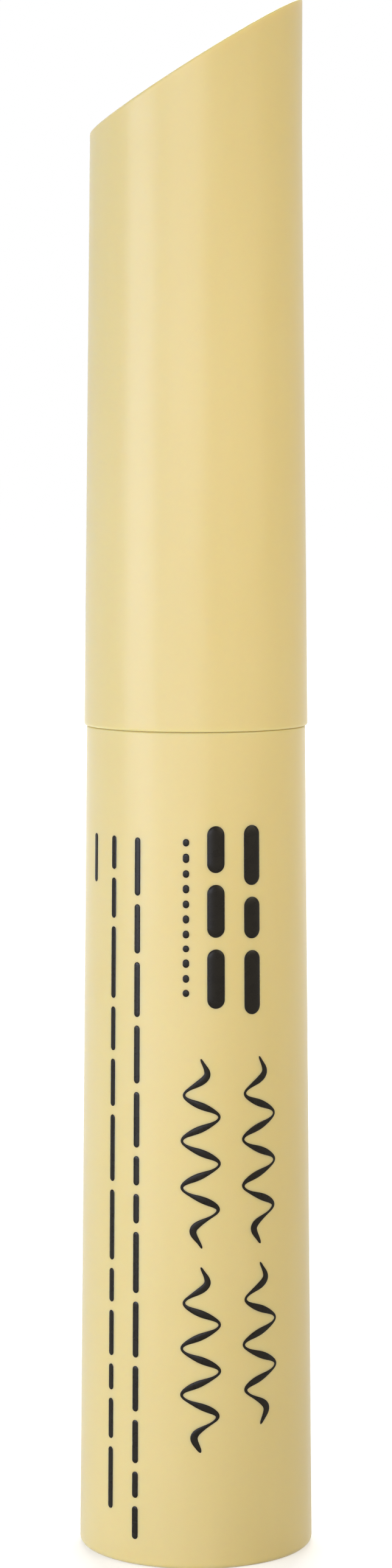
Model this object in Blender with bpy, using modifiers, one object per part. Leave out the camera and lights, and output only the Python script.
"""A stout felt-tip cuticle remover pen: an obliquely cut cap over a tapered barrel, with the works inside.

The pen stands on its base along +Z, with the origin at the centre of the base. The cap's slanted crown
rises towards +X. Lengths are in metres. Each piece is drawn in a frame of its own on the pen's axis and
then put in its place, and it takes its sizes from the piece that carries it.
Run it with: blender --background --python part.py
"""

import math

import bmesh
import bpy
from mathutils import Matrix, Vector

MM = 0.001

# Overall form
BARREL_LENGTH = 53.64 * MM
BASE_RADIUS = 7.616 * MM
BARREL_DRAFT = math.radians(0.597)
LIP_PROUD = 0.16 * MM  # how far the cap's lip stands out past the barrel's rim
CAP_DRAFT = math.radians(0.67)
CROWN_SLANT = math.radians(31.9)
CROWN_ROOM = 7.25 * MM  # from the liner's edge straight up to the inside of the slanted crown

# Clearances, each measured on the radius or along the axis
PRESS_GAP = 0.05 * MM  # between pieces that are pressed together
SLIDE_GAP = 0.08 * MM  # between pieces that slide past each other
SEAT_GAP = 0.1 * MM  # between a face and the seat that it rests on

# Barrel
BARREL_WALL = 1.2 * MM
BASE_EDGE = 0.4 * MM
RIM_EDGE = 0.12 * MM
PLUG_DEPTH = 8.0 * MM
PLUG_STEP = 0.2 * MM  # how much wider the plug's bore is than the bore above it
PLUG_LEAD = 0.15 * MM
FLANGE_DEPTH = 1.0 * MM
FLANGE_STEP = 0.35 * MM  # how much wider the flange's seat is than the bore below it
FRONT_BORE_ROOM = 1.0 * MM  # from the front section's skirt down to the ribs
BARREL_RIBS = 6
BARREL_RIB_THICKNESS = 0.6 * MM
BARREL_RIB_DEPTH = 0.35 * MM  # how far the ribs stand in from the front bore

# Front section
SKIRT_LENGTH = 8.0 * MM
SKIRT_WALL = 0.95 * MM
SKIRT_LEAD = 0.3 * MM
NECK_STEP = 0.2 * MM
NECK_LENGTH = 8.0 * MM
NECK_EDGE = 0.3 * MM
NECK_ROOF = 1.1 * MM
LAND_LENGTH = 5.0 * MM
LAND_EDGE = 0.4 * MM
NOSE_WALL = 0.9 * MM
NOSE_LENGTH = 4.0 * MM
NOSE_EDGE = 0.2 * MM
TUBE_WALL = 0.85 * MM
TUBE_SETBACK = 2.0 * MM  # from the skirt's end up to the end of the nib's tube
TUBE_FLOOR = 0.8 * MM
FIN_COUNT = 4
FIN_THICKNESS = 0.7 * MM
FIN_SETBACK = 0.8 * MM
VENT_COUNT = 2
VENT_WIDTH = 0.5 * MM
VENT_DEPTH = 0.4 * MM

# Beads that hold the pressed pieces and the cap
BEAD_HEIGHT = 0.1 * MM
BEAD_WIDTH = 1.0 * MM
BEAD_SHARES = (0.3, 0.7)  # where the beads lie along a pressed skirt
CAP_BEAD_HEIGHT = 5.2 * MM  # from the barrel's rim up to the bead that the cap snaps over

# Nib
NIB_RADIUS = 2.0 * MM
NIB_OUT = 5.5 * MM
NIB_SLANT = math.radians(45.0)
NIB_EDGE = 0.3 * MM
NIB_SHOULDER = 1.5 * MM
TAIL_RADIUS = 1.3 * MM
TAIL_DEPTH = 12.0 * MM  # how far the tail runs into the reservoir
TAIL_POINT = 2.0 * MM

# Reservoir
RESERVOIR_ROOM = 0.1 * MM  # between the film and the barrel's ribs
FILM_WALL = 0.15 * MM
CORE_EDGE = 0.3 * MM
BREATHER_RADIUS = 0.65 * MM
BREATHER_WALL = 0.2 * MM
BREATHER_FRONT = 1.8 * MM  # how far the breather tube stands out of the reservoir's front
BREATHER_REAR = 1.5 * MM  # and out of its rear
PASSAGE_TURN = math.radians(45.0)  # turns the air passages to between the fins and the vanes

# End plug
PLUG_RECESS = 0.4 * MM
PLUG_FACE = 1.4 * MM
PLUG_WALL = 0.9 * MM
PLUG_EDGE = 0.25 * MM
VANE_COUNT = 4
VANE_THICKNESS = 0.8 * MM
VANE_STAND = 1.0 * MM  # how far the vanes stand up past the plug's skirt
VANE_OPENING = 1.2 * MM
GATE_RADIUS = 1.4 * MM
GATE_DEPTH = 0.3 * MM

# Cap
CAP_WALL = 1.3 * MM
CROWN_WALL = 1.3 * MM
CROWN_EDGE = 0.26 * MM  # width of the rounding round the slanted crown
LIP_EDGE = 0.2 * MM
LIP_LEAD = 0.25 * MM
GROOVE_DEPTH = 0.12 * MM
GROOVE_ROOM = 0.4 * MM  # how much longer the groove is than the bead that lies in it
NECK_ROOM = 0.6 * MM  # from the neck's shoulder up to the step in the cap's bore
CAP_RIBS = 6
CAP_RIB_THICKNESS = 0.7 * MM
CAP_RIB_DEPTH = 0.7 * MM

# Liner
NIB_ROOM = 6.9 * MM  # from the nib's tip up to the inside of the liner's roof
LINER_WALL = 0.65 * MM
LINER_ROOF = 0.9 * MM
LINER_DRAFT = math.radians(0.7)
LINER_EDGE = 0.6 * MM
LINER_LEAD = 0.3 * MM
LINER_RECESS = 0.2 * MM  # from the step in the cap's bore up to the liner's mouth
LINER_FLANGE = 1.2 * MM
SEAL_LENGTH = 2.0 * MM
SEAL_STEP = 0.12 * MM  # how far the seal stands in from the liner's bore

# How finely the pieces are drawn
SEGMENTS = 48
THIN_SEGMENTS = 16
ARC_STEPS = 3
OVERRUN = 2.0 * MM  # how far a cutter runs past what it cuts
MERGE_DISTANCE = 0.001 * MM
CREASE_ANGLE = math.radians(42.0)

# Moulded colours
YELLOW = (0.83, 0.68, 0.36)
NATURAL = (0.86, 0.86, 0.83)
FELT = (0.9, 0.89, 0.85)
CLEAR = (0.8, 0.84, 0.86)


def barrel_radius(height):
    """Outside radius of the barrel at a height above its base."""
    return BASE_RADIUS - height * math.tan(BARREL_DRAFT)


def bore_radius(height):
    """Inside radius of the barrel's tapered bore at a height above its base."""
    return barrel_radius(height) - BARREL_WALL


def cap_radius(height):
    """Outside radius of the cap at a height above its lip."""
    return LIP_RADIUS - height * math.tan(CAP_DRAFT)


def cavity_radius(height):
    """Inside radius of the cap at a height above its lip, past the step in its bore."""
    return cap_radius(height) - CAP_WALL


# Radii that the pieces pass on to each other, from the barrel inwards and up
PLUG_BORE = bore_radius(PLUG_DEPTH) + PLUG_STEP
FRONT_BORE = bore_radius(BARREL_LENGTH)
FLANGE_BORE = FRONT_BORE + FLANGE_STEP
BARREL_RIB_RADIUS = FRONT_BORE - BARREL_RIB_DEPTH
SKIRT_RADIUS = FRONT_BORE - PRESS_GAP - BEAD_HEIGHT
CHAMBER_RADIUS = SKIRT_RADIUS - SKIRT_WALL
FLANGE_RADIUS = FLANGE_BORE - PRESS_GAP
NECK_RADIUS = FLANGE_RADIUS - NECK_STEP
CAP_BORE = NECK_RADIUS + BEAD_HEIGHT + SLIDE_GAP
LIP_RADIUS = barrel_radius(BARREL_LENGTH) + LIP_PROUD
NIB_BORE = NIB_RADIUS + PRESS_GAP
TAIL_BORE = TAIL_RADIUS + SLIDE_GAP
TUBE_RADIUS = NIB_BORE + TUBE_WALL
FILM_RADIUS = BARREL_RIB_RADIUS - RESERVOIR_ROOM
CORE_RADIUS = FILM_RADIUS - FILM_WALL - PRESS_GAP
BREATHER_OFFSET = CHAMBER_RADIUS - BREATHER_RADIUS - SEAT_GAP

# Heights above the base
PLUG_TOP = PLUG_DEPTH - SEAT_GAP
CORE_REAR = PLUG_TOP + VANE_STAND + SEAT_GAP
CORE_FRONT = BARREL_LENGTH - SKIRT_LENGTH - SEAT_GAP
LIP_HEIGHT = BARREL_LENGTH + SEAT_GAP

# Heights above the barrel's rim
LAND_TOP = NECK_LENGTH + LAND_LENGTH
NOSE_TOP = LAND_TOP + NOSE_LENGTH
TUBE_END = TUBE_SETBACK - SKIRT_LENGTH
NIB_SEAT = TUBE_END + TUBE_FLOOR
NIB_TIP = NOSE_TOP + NIB_OUT

# Heights above the cap's lip
STEP_HEIGHT = NECK_LENGTH + NECK_ROOM - SEAT_GAP
LINER_HEIGHT = STEP_HEIGHT + LINER_RECESS
LINER_LENGTH = NIB_TIP + NIB_ROOM + LINER_ROOF - SEAT_GAP - LINER_HEIGHT
CAP_RIB_START = LINER_HEIGHT + LINER_FLANGE + SEAT_GAP
LINER_RADIUS = cavity_radius(CAP_RIB_START) - CAP_RIB_DEPTH - PRESS_GAP
LINER_BORE = LINER_RADIUS - LINER_WALL
SEAL_RADIUS = LINER_BORE - SEAL_STEP
LAND_RADIUS = SEAL_RADIUS - SLIDE_GAP
CROWN_HEIGHT = (
    LINER_HEIGHT
    + LINER_LENGTH
    + CROWN_ROOM
    + LINER_RADIUS * math.tan(CROWN_SLANT)
    + CROWN_WALL / math.cos(CROWN_SLANT)
)
CROWN_LOW = CROWN_HEIGHT - LIP_RADIUS * math.tan(CROWN_SLANT)  # the cap's sides run straight up from here


def clear_scene():
    for thing in list(bpy.data.objects):
        bpy.data.objects.remove(thing)


def new_collection(name):
    collection = bpy.data.collections.new(name)
    bpy.context.scene.collection.children.link(collection)
    return collection


def moulded(name, colour, roughness):
    """A Principled material in one colour."""
    material = bpy.data.materials.new(name)
    material.use_nodes = True
    shader = material.node_tree.nodes["Principled BSDF"]
    shader.inputs["Base Color"].default_value = (*colour, 1.0)
    shader.inputs["Roughness"].default_value = roughness
    shader.inputs["Metallic"].default_value = 0.0
    return material


def rounded(corners):
    """Outline points of (radius, height) corners, where a third value rounds the corner with an arc."""
    points = []
    for i, (radius, height, *rounding) in enumerate(corners):
        corner = Vector((radius, height))
        if not rounding:
            points.append(corner)
            continue
        back = (Vector(corners[i - 1][:2]) - corner).normalized()
        ahead = (Vector(corners[i + 1][:2]) - corner).normalized()
        half_angle = back.angle(ahead) / 2
        tangent = rounding[0] / math.tan(half_angle)
        centre = corner + (back + ahead).normalized() * rounding[0] / math.sin(half_angle)
        start = corner + back * tangent - centre
        end = corner + ahead * tangent - centre
        sweep = end.angle_signed(start)
        for step in range(ARC_STEPS + 1):
            points.append(centre + Matrix.Rotation(sweep * step / ARC_STEPS, 2) @ start)
    return points


def bead(radius, middle, width, height):
    """Corners of a ring-shaped bead with sloping sides, going down."""
    return [
        (radius, middle + width / 2),
        (radius + height, middle + width / 4),
        (radius + height, middle - width / 4),
        (radius, middle - width / 2),
    ]


def skirt_beads(radius, top, bottom):
    """Corners of the beads along a pressed skirt, going down."""
    corners = []
    for share in BEAD_SHARES:
        corners += bead(radius, top + (bottom - top) * share, BEAD_WIDTH, BEAD_HEIGHT)
    return corners


def new_object(name, mesh, collection):
    thing = bpy.data.objects.new(name, mesh)
    collection.objects.link(thing)
    return thing


def turned(name, corners, collection, segments=SEGMENTS):
    """Turn an outline round Z: down the outer side, then in to the axis or up the bore to the start."""
    points = rounded(corners)
    edges = [(i, i + 1) for i in range(len(points) - 1)]
    if corners[0][0] > 0:
        edges.append((len(points) - 1, 0))
    mesh = bpy.data.meshes.new(name)
    mesh.from_pydata([(point.x, 0, point.y) for point in points], edges, [])
    thing = new_object(name, mesh, collection)
    screw = thing.modifiers.new("turn", "SCREW")
    screw.steps = segments
    screw.render_steps = segments
    screw.use_merge_vertices = True
    screw.merge_threshold = MERGE_DISTANCE
    return thing


def spokes(name, count, thickness, inner, outer, bottom, top, turn=0):
    """A ring of upright plates that stand out from the axis, from one radius to another."""
    mesh = bpy.data.meshes.new(name)
    plates = bmesh.new()
    size = Matrix.Diagonal((outer - inner, thickness, top - bottom, 1))
    place = Matrix.Translation(((inner + outer) / 2, 0, (bottom + top) / 2))
    for i in range(count):
        spin = Matrix.Rotation(turn + math.tau * i / count, 4, "Z")
        bmesh.ops.create_cube(plates, size=1, matrix=spin @ place @ size)
    plates.to_mesh(mesh)
    plates.free()
    return new_object(name, mesh, cutters)


def slanted_block(name, size, height, slant):
    """A block whose underside crosses the axis at a height and rises towards +X."""
    mesh = bpy.data.meshes.new(name)
    block = bmesh.new()
    tilt = Matrix.Rotation(-slant, 4, "Y")
    bmesh.ops.create_cube(block, size=size, matrix=tilt @ Matrix.Translation((0, 0, size / 2)))
    block.to_mesh(mesh)
    block.free()
    thing = new_object(name, mesh, cutters)
    thing.location.z = height
    return thing


def combine(piece, tool, operation):
    """Cut a tool out of a piece, or join it on, and keep the tool with the piece as a wire guide."""
    boolean = piece.modifiers.new(tool.name, "BOOLEAN")
    boolean.object = tool
    boolean.operation = operation
    tool.parent = piece
    tool.display_type = "WIRE"
    tool.hide_render = True


def round_edges(piece, width):
    """Round the piece's sharp edges, all to the same width."""
    bevel = piece.modifiers.new("edges", "BEVEL")
    bevel.offset_type = "WIDTH"
    bevel.width = width
    bevel.segments = ARC_STEPS + 1
    bevel.limit_method = "ANGLE"
    bevel.angle_limit = CREASE_ANGLE


def finish(piece, material, parent, height):
    """Make a piece's modifiers real, shade it, and put it at a height in its parent's frame."""
    bpy.context.view_layer.update()
    evaluated = piece.evaluated_get(bpy.context.evaluated_depsgraph_get())
    mesh = bpy.data.meshes.new_from_object(evaluated)
    mesh.name = piece.name
    mesh.materials.clear()
    mesh.materials.append(material)
    mesh.shade_smooth()
    mesh.set_sharp_from_angle(angle=CREASE_ANGLE)
    piece.modifiers.clear()
    piece.data = mesh
    piece.parent = parent
    piece.location.z = height
    return piece


def anchor(name, height):
    """An empty on the pen's axis that carries the pieces of one body."""
    empty = new_object(name, None, parts)
    empty.location.z = height
    return empty


def make_barrel(material, pen):
    """The tapered tube. Its bore is open at both ends and has ribs that centre the reservoir."""
    front_bore_end = BARREL_LENGTH - SKIRT_LENGTH - FRONT_BORE_ROOM
    barrel = turned(
        "barrel",
        [
            (0, BARREL_LENGTH),
            (barrel_radius(BARREL_LENGTH), BARREL_LENGTH, RIM_EDGE),
            (BASE_RADIUS, 0, BASE_EDGE),
            (0, 0),
        ],
        parts,
    )
    bore = turned(
        "barrel_bore",
        [
            (0, BARREL_LENGTH + OVERRUN),
            (FLANGE_BORE, BARREL_LENGTH + OVERRUN),
            (FLANGE_BORE, BARREL_LENGTH - FLANGE_DEPTH),
            (FRONT_BORE, BARREL_LENGTH - FLANGE_DEPTH),
            (FRONT_BORE, front_bore_end),
            (bore_radius(front_bore_end), front_bore_end),
            (bore_radius(PLUG_DEPTH), PLUG_DEPTH),
            (PLUG_BORE, PLUG_DEPTH),
            (PLUG_BORE, PLUG_LEAD),
            (PLUG_BORE + PLUG_LEAD + OVERRUN, -OVERRUN),
            (0, -OVERRUN),
        ],
        cutters,
    )
    ribs = spokes(
        "barrel_ribs",
        BARREL_RIBS,
        BARREL_RIB_THICKNESS,
        BARREL_RIB_RADIUS,
        BASE_RADIUS,
        CORE_REAR,
        front_bore_end,
    )
    combine(bore, ribs, "DIFFERENCE")
    combine(barrel, bore, "DIFFERENCE")
    return finish(barrel, material, pen, 0)


def make_end_plug(material, pen):
    """The cup pressed into the barrel's rear end. Its vanes carry the reservoir."""
    height = PLUG_TOP - PLUG_RECESS
    radius = PLUG_BORE - PRESS_GAP
    skirt = radius - BEAD_HEIGHT
    inside = skirt - PLUG_WALL
    plug = turned(
        "end_plug",
        [
            (0, PLUG_FACE),
            (inside, PLUG_FACE),
            (inside, height),
            (skirt, height),
            *skirt_beads(skirt, height, PLUG_FACE),
            (skirt, PLUG_FACE),
            (radius, PLUG_FACE),
            (radius, 0, PLUG_EDGE),
            (GATE_RADIUS, 0),
            (GATE_RADIUS, GATE_DEPTH),
            (0, GATE_DEPTH),
        ],
        parts,
    )
    vanes = spokes(
        "plug_vanes",
        VANE_COUNT,
        VANE_THICKNESS,
        VANE_OPENING,
        inside + PLUG_WALL / 2,
        PLUG_FACE / 2,
        height + VANE_STAND,
    )
    combine(plug, vanes, "UNION")
    return finish(plug, material, pen, PLUG_RECESS)


def make_front_section(material, pen):
    """The nib holder: a skirt in the barrel, a neck for the cap, a land for the liner's seal and a nose.

    Fins hold the nib's tube inside it, and air comes in through grooves along the nib.
    """
    roof = NECK_LENGTH - NECK_ROOF
    section = turned(
        "front_section",
        [
            (NIB_BORE + NOSE_WALL, NOSE_TOP, NOSE_EDGE),
            (LAND_RADIUS, LAND_TOP, LAND_EDGE),
            (LAND_RADIUS, NECK_LENGTH),
            (NECK_RADIUS, NECK_LENGTH, NECK_EDGE),
            *bead(NECK_RADIUS, CAP_BEAD_HEIGHT, BEAD_WIDTH, BEAD_HEIGHT),
            (NECK_RADIUS, 0),
            (FLANGE_RADIUS, 0),
            (FLANGE_RADIUS, SEAT_GAP - FLANGE_DEPTH),
            (SKIRT_RADIUS, SEAT_GAP - FLANGE_DEPTH),
            *skirt_beads(SKIRT_RADIUS, -FLANGE_DEPTH, -SKIRT_LENGTH),
            (SKIRT_RADIUS, SKIRT_LEAD - SKIRT_LENGTH),
            (SKIRT_RADIUS - SKIRT_LEAD, -SKIRT_LENGTH),
            (CHAMBER_RADIUS, -SKIRT_LENGTH),
            (CHAMBER_RADIUS, roof),
            (TUBE_RADIUS, roof),
            (TUBE_RADIUS, TUBE_END),
            (TAIL_BORE, TUBE_END),
            (TAIL_BORE, NIB_SEAT),
            (NIB_BORE, NIB_SEAT + NIB_SHOULDER),
            (NIB_BORE, NOSE_TOP),
        ],
        parts,
    )
    fins = spokes(
        "front_fins",
        FIN_COUNT,
        FIN_THICKNESS,
        NIB_BORE + TUBE_WALL / 2,
        CHAMBER_RADIUS + SKIRT_WALL / 2,
        TUBE_END + FIN_SETBACK,
        roof + NECK_ROOF / 2,
    )
    vents = spokes(
        "front_vents",
        VENT_COUNT,
        VENT_WIDTH,
        TAIL_BORE / 2,
        NIB_BORE + VENT_DEPTH,
        TUBE_END - OVERRUN,
        NOSE_TOP + OVERRUN,
        turn=PASSAGE_TURN,
    )
    combine(section, fins, "UNION")
    combine(section, vents, "DIFFERENCE")
    return finish(section, material, pen, BARREL_LENGTH)


def make_nib(material, pen):
    """The felt rod: a slanted tip, a conical shoulder in its seat and a tail down into the reservoir."""
    tip_room = NIB_RADIUS * math.tan(NIB_SLANT)
    tail_end = CORE_FRONT - BARREL_LENGTH - TAIL_DEPTH
    shoulder = NIB_SEAT + SEAT_GAP
    nib = turned(
        "nib",
        [
            (0, NIB_TIP + OVERRUN),
            (NIB_RADIUS, NIB_TIP + OVERRUN),
            (NIB_RADIUS, shoulder + NIB_SHOULDER),
            (TAIL_RADIUS, shoulder),
            (TAIL_RADIUS, tail_end + TAIL_POINT),
            (0, tail_end),
        ],
        parts,
    )
    slant = slanted_block("nib_slant", NIB_TIP, NIB_TIP - tip_room, NIB_SLANT)
    combine(nib, slant, "DIFFERENCE")
    round_edges(nib, NIB_EDGE)
    return finish(nib, material, pen, BARREL_LENGTH)


def breather_place():
    """Where the breather tube runs: off the axis, between the fins and between the vanes."""
    return BREATHER_OFFSET * math.cos(PASSAGE_TURN), BREATHER_OFFSET * math.sin(PASSAGE_TURN)


def make_reservoir_core(material, pen):
    """The fibre bundle, with a socket for the nib's tail and a bore for the breather tube."""
    length = CORE_FRONT - CORE_REAR
    socket_end = length - TAIL_DEPTH - SEAT_GAP
    core = turned(
        "reservoir_core",
        [
            (0, socket_end),
            (TAIL_BORE, socket_end + TAIL_POINT),
            (TAIL_BORE, length),
            (CORE_RADIUS, length, CORE_EDGE),
            (CORE_RADIUS, 0, CORE_EDGE),
            (0, 0),
        ],
        parts,
    )
    passage = turned(
        "breather_passage",
        [
            (0, length + OVERRUN),
            (BREATHER_RADIUS + PRESS_GAP, length + OVERRUN),
            (BREATHER_RADIUS + PRESS_GAP, -OVERRUN),
            (0, -OVERRUN),
        ],
        cutters,
        THIN_SEGMENTS,
    )
    passage.location.xy = breather_place()
    combine(core, passage, "DIFFERENCE")
    return finish(core, material, pen, CORE_REAR)


def make_reservoir_film(material, pen):
    """The thin tube that is wrapped round the fibre bundle."""
    length = CORE_FRONT - CORE_REAR
    film = turned(
        "reservoir_film",
        [
            (FILM_RADIUS, length),
            (FILM_RADIUS, 0),
            (FILM_RADIUS - FILM_WALL, 0),
            (FILM_RADIUS - FILM_WALL, length),
        ],
        parts,
    )
    return finish(film, material, pen, CORE_REAR)


def make_breather_tube(material, pen):
    """The air tube through the fibre bundle, open at both ends."""
    top = CORE_FRONT + BREATHER_FRONT
    bottom = CORE_REAR - BREATHER_REAR
    tube = turned(
        "breather_tube",
        [
            (BREATHER_RADIUS, top - bottom),
            (BREATHER_RADIUS, 0),
            (BREATHER_RADIUS - BREATHER_WALL, 0),
            (BREATHER_RADIUS - BREATHER_WALL, top - bottom),
        ],
        parts,
        THIN_SEGMENTS,
    )
    tube.location.xy = breather_place()
    return finish(tube, material, pen, bottom)


def cap_core():
    """The space in the cap: a mouth for the neck, a step, and a tapered room with slots for the ribs."""
    inner_height = CROWN_HEIGHT - CROWN_WALL / math.cos(CROWN_SLANT)
    top = CROWN_HEIGHT + LIP_RADIUS
    core = turned(
        "cap_inside",
        [
            (0, top),
            (cavity_radius(CROWN_LOW), top),
            (cavity_radius(CROWN_LOW), CROWN_LOW),
            (cavity_radius(STEP_HEIGHT), STEP_HEIGHT),
            (CAP_BORE, STEP_HEIGHT),
            *bead(CAP_BORE, CAP_BEAD_HEIGHT - SEAT_GAP, BEAD_WIDTH + GROOVE_ROOM, GROOVE_DEPTH),
            (CAP_BORE, LIP_LEAD),
            (CAP_BORE + LIP_LEAD + OVERRUN, -OVERRUN),
            (0, -OVERRUN),
        ],
        cutters,
    )
    ribs = spokes(
        "cap_ribs",
        CAP_RIBS,
        CAP_RIB_THICKNESS,
        LINER_RADIUS + PRESS_GAP,
        LIP_RADIUS,
        CAP_RIB_START,
        top + OVERRUN,
    )
    crown = slanted_block("cap_inside_slant", CROWN_HEIGHT, inner_height, CROWN_SLANT)
    combine(core, ribs, "DIFFERENCE")
    combine(core, crown, "DIFFERENCE")
    return core


def make_cap_shell(material, cap):
    """The outer cap, closed by a slanted crown with a rounded edge."""
    top = CROWN_HEIGHT + LIP_RADIUS
    shell = turned(
        "cap_shell",
        [
            (0, top),
            (cap_radius(CROWN_LOW), top),
            (cap_radius(CROWN_LOW), CROWN_LOW),
            (LIP_RADIUS, 0, LIP_EDGE),
            (0, 0),
        ],
        parts,
    )
    crown = slanted_block("cap_slant", CROWN_HEIGHT, CROWN_HEIGHT, CROWN_SLANT)
    combine(shell, crown, "DIFFERENCE")
    round_edges(shell, CROWN_EDGE)
    combine(shell, cap_core(), "DIFFERENCE")
    return finish(shell, material, cap, 0)


def make_cap_liner(material, cap):
    """The inner cap that seals on the land and keeps the nib wet. Its flange is pressed into the cap."""
    taper = LINER_LENGTH * math.tan(LINER_DRAFT)
    flange_radius = cavity_radius(CAP_RIB_START) - PRESS_GAP
    seal_top = LINER_LEAD + SEAL_LENGTH
    liner = turned(
        "cap_liner",
        [
            (0, LINER_LENGTH),
            (LINER_RADIUS - taper, LINER_LENGTH, LINER_EDGE),
            (LINER_RADIUS, LINER_FLANGE),
            (flange_radius, LINER_FLANGE),
            (flange_radius, 0),
            (SEAL_RADIUS + LINER_LEAD, 0),
            (SEAL_RADIUS, LINER_LEAD),
            (SEAL_RADIUS, seal_top),
            (LINER_BORE, seal_top + SEAL_STEP),
            (LINER_BORE - taper, LINER_LENGTH - LINER_ROOF),
            (0, LINER_LENGTH - LINER_ROOF),
        ],
        parts,
    )
    return finish(liner, material, cap, LINER_HEIGHT)


clear_scene()
parts = new_collection("cuticle_remover_pen")
cutters = new_collection("cutters")

yellow_satin = moulded("yellow_satin", YELLOW, 0.4)
natural_plastic = moulded("natural_plastic", NATURAL, 0.3)
liner_plastic = moulded("liner_plastic", NATURAL, 0.45)
nib_felt = moulded("nib_felt", FELT, 0.95)
reservoir_fibre = moulded("reservoir_fibre", FELT, 0.9)
clear_film = moulded("clear_film", CLEAR, 0.15)

pen = anchor("pen", 0)
make_barrel(yellow_satin, pen)
make_end_plug(yellow_satin, pen)
make_front_section(natural_plastic, pen)
make_nib(nib_felt, pen)
make_reservoir_core(reservoir_fibre, pen)
make_reservoir_film(clear_film, pen)
make_breather_tube(clear_film, pen)

cap = anchor("cap", LIP_HEIGHT)
make_cap_shell(yellow_satin, cap)
make_cap_liner(liner_plastic, cap)
